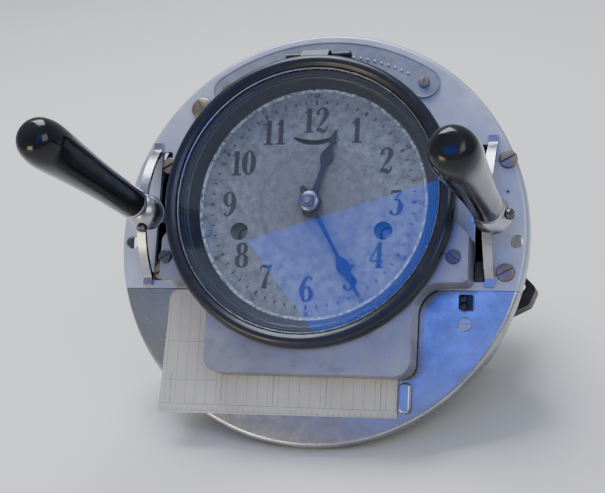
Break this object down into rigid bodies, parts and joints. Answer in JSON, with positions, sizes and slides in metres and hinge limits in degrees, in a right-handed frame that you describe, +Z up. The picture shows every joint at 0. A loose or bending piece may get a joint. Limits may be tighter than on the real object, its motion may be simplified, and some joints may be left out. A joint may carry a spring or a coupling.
{
  "type": "elapsed-time card stamp clock",
  "caption": "Round panel-mounted time stamp: a clock under a hinged glass, two sprung printing levers with black grips, a card throat, and an iron movement case behind.",
  "frame": {"origin": "on the standing surface, at the centre of the object's bounding box seen from above", "axes": "+X to the right seen from the front, +Z up, the clock faces -Y and leans back 36 degrees from upright"},
  "size_m": [0.2304, 0.2202, 0.1994],
  "materials": {
    "plate_paint": "satin silver-grey paint",
    "nickel": "polished nickel, aged",
    "aluminium": "satin, pitted",
    "black_enamel": "gloss black enamel",
    "black_iron": "dull black",
    "silvered": "silvered, tarnished",
    "blued_steel": "blued",
    "steel": "plain",
    "dark_steel": "darkened",
    "brass": "plain",
    "grip_black": "polished black",
    "glass": "clear",
    "paper": "uncoated card",
    "ribbon": "inked cloth"
  },
  "bodies": {
    "root": {"face_plate": "plate_paint", "card_table": "nickel", "card_table_screw": "steel", "card_guide_block": "nickel", "ribbon_catch": "black_enamel", "top_nameplate": "aluminium", "nameplate_screw_left": "dark_steel", "nameplate_screw_right": "dark_steel", "head_casting": "aluminium", "head_screw_left": "dark_steel", "head_screw_right": "dark_steel", "bezel_hinge_leaf": "black_enamel", "dial": "silvered", "guide_arch_left": "nickel", "guide_arch_right": "nickel", "arch_screw_left_upper": "brass", "arch_screw_left_lower": "brass", "arch_screw_right_upper": "brass", "arch_screw_right_lower": "brass", "return_spring_left": "dark_steel", "return_spring_right": "dark_steel", "type_carrier": "steel", "ink_ribbon": "ribbon", "movement_front_plate": "brass", "movement_back_plate": "brass", "case": "black_iron", "case_ear_left": "black_iron", "case_ear_right": "black_iron", "case_foot": "black_iron", "rear_cover": "black_iron"},
    "bezel": {"bezel_ring": "black_enamel", "bezel_glass": "glass", "glass_retainer": "nickel"},
    "left_lever": {"lever_left": "nickel", "ferrule_left": "nickel", "grip_left": "grip_black", "hub_screw_left": "dark_steel", "lever_shaft_left": "steel"},
    "right_lever": {"lever_right": "nickel", "ferrule_right": "nickel", "grip_right": "grip_black", "hub_screw_right": "dark_steel", "lever_shaft_right": "steel"},
    "left_hammer": {"hammer_left": "steel"},
    "right_hammer": {"hammer_right": "steel"},
    "lock": {"lock_barrel": "brass"},
    "centre_arbor": {"centre_wheel": "brass", "minute_hand": "blued_steel", "hand_nut": "blued_steel"},
    "hour_pipe": {"hour_wheel": "brass", "hour_hand": "blued_steel"},
    "minute_work": {"minute_wheel": "brass"},
    "idler": {"idler_wheel": "brass"},
    "type_die": {"type_wheel": "brass"},
    "left_barrel": {"mainspring_barrel_left": "brass"},
    "right_barrel": {"mainspring_barrel_right": "brass"},
    "third_arbor": {"third_wheel": "steel"},
    "escape_arbor": {"escape_wheel": "steel"},
    "balance": {"balance_wheel": "brass"},
    "card": {"ticket_card": "paper"}
  },
  "joints": [
    {"name": "bezel_hinge", "type": "hinge", "parent": "root", "child": "bezel", "pos_m": [0, 0.04222, 0.18477], "axis": [-1, 0, 0], "range_deg": [0, 100]},
    {"name": "left_lever_pull", "type": "hinge", "parent": "root", "child": "left_lever", "pos_m": [-0.0905, 0.03022, 0.08965], "axis": [1, 0, 0], "range_deg": [-30, 20], "stiffness_Nm_per_rad": 1.5, "springref_deg": -3.61},
    {"name": "right_lever_pull", "type": "hinge", "parent": "root", "child": "right_lever", "pos_m": [0.0895, 0.03022, 0.08965], "axis": [1, 0, 0], "range_deg": [-30, 20], "stiffness_Nm_per_rad": 1.5, "springref_deg": -3.61},
    {"name": "left_hammer_strike", "type": "hinge", "parent": "root", "child": "left_hammer", "pos_m": [-0.03, -0.00073, 0.07938], "axis": [1, 0, 0], "range_deg": [-6, 9]},
    {"name": "right_hammer_strike", "type": "hinge", "parent": "root", "child": "right_hammer", "pos_m": [0.03, -0.00073, 0.07938], "axis": [1, 0, 0], "range_deg": [-6, 9]},
    {"name": "lock_turn", "type": "hinge", "parent": "root", "child": "lock", "pos_m": [-0.071, 0.03982, 0.15783], "axis": [0, -0.809, 0.5878], "range_deg": [0, 90]},
    {"name": "centre_turn", "type": "hinge", "parent": "root", "child": "centre_arbor", "pos_m": [0, 0.00551, 0.11008], "axis": [0, -0.809, 0.5878], "continuous": true},
    {"name": "hour_turn", "type": "hinge", "parent": "root", "child": "hour_pipe", "pos_m": [0, 0.00551, 0.11008], "axis": [0, -0.809, 0.5878], "continuous": true},
    {"name": "minute_work_turn", "type": "hinge", "parent": "root", "child": "minute_work", "pos_m": [0, 0.01123, 0.12817], "axis": [0, -0.809, 0.5878], "continuous": true},
    {"name": "idler_turn", "type": "hinge", "parent": "root", "child": "idler", "pos_m": [0, -0.01409, 0.0894], "axis": [0, -0.809, 0.5878], "continuous": true},
    {"name": "type_turn", "type": "hinge", "parent": "root", "child": "type_die", "pos_m": [0, -0.0307, 0.06655], "axis": [0, -0.809, 0.5878], "continuous": true},
    {"name": "left_barrel_turn", "type": "hinge", "parent": "root", "child": "left_barrel", "pos_m": [-0.04, 0.03471, 0.07032], "axis": [0, -0.809, 0.5878], "continuous": true},
    {"name": "right_barrel_turn", "type": "hinge", "parent": "root", "child": "right_barrel", "pos_m": [0.04, 0.03471, 0.07032], "axis": [0, -0.809, 0.5878], "continuous": true},
    {"name": "third_turn", "type": "hinge", "parent": "root", "child": "third_arbor", "pos_m": [0.0105, 0.04694, 0.10246], "axis": [0, -0.809, 0.5878], "continuous": true},
    {"name": "escape_turn", "type": "hinge", "parent": "root", "child": "escape_arbor", "pos_m": [-0.00197, 0.04632, 0.11181], "axis": [0, -0.809, 0.5878], "continuous": true},
    {"name": "balance_swing", "type": "hinge", "parent": "root", "child": "balance", "pos_m": [-0.024, 0.04388, 0.11866], "axis": [0, -0.809, 0.5878], "range_deg": [-150, 150], "stiffness_Nm_per_rad": 0.0001},
    {"name": "card_slide", "type": "slide", "parent": "root", "child": "card", "axis": [-1, 0, 0], "range_m": [0, 0.105]}
  ],
  "couplings": [
    {"joint": "left_hammer_strike", "follows": "left_lever_pull", "ratio": -0.27},
    {"joint": "right_hammer_strike", "follows": "right_lever_pull", "ratio": -0.27},
    {"joint": "hour_turn", "follows": "centre_turn", "ratio": 0.083333},
    {"joint": "minute_work_turn", "follows": "centre_turn", "ratio": -0.33333},
    {"joint": "idler_turn", "follows": "centre_turn", "ratio": -1},
    {"joint": "type_turn", "follows": "centre_turn", "ratio": 1},
    {"joint": "left_barrel_turn", "follows": "centre_turn", "ratio": -0.2},
    {"joint": "right_barrel_turn", "follows": "centre_turn", "ratio": -0.2},
    {"joint": "third_turn", "follows": "centre_turn", "ratio": -4},
    {"joint": "escape_turn", "follows": "centre_turn", "ratio": 16}
  ]
}
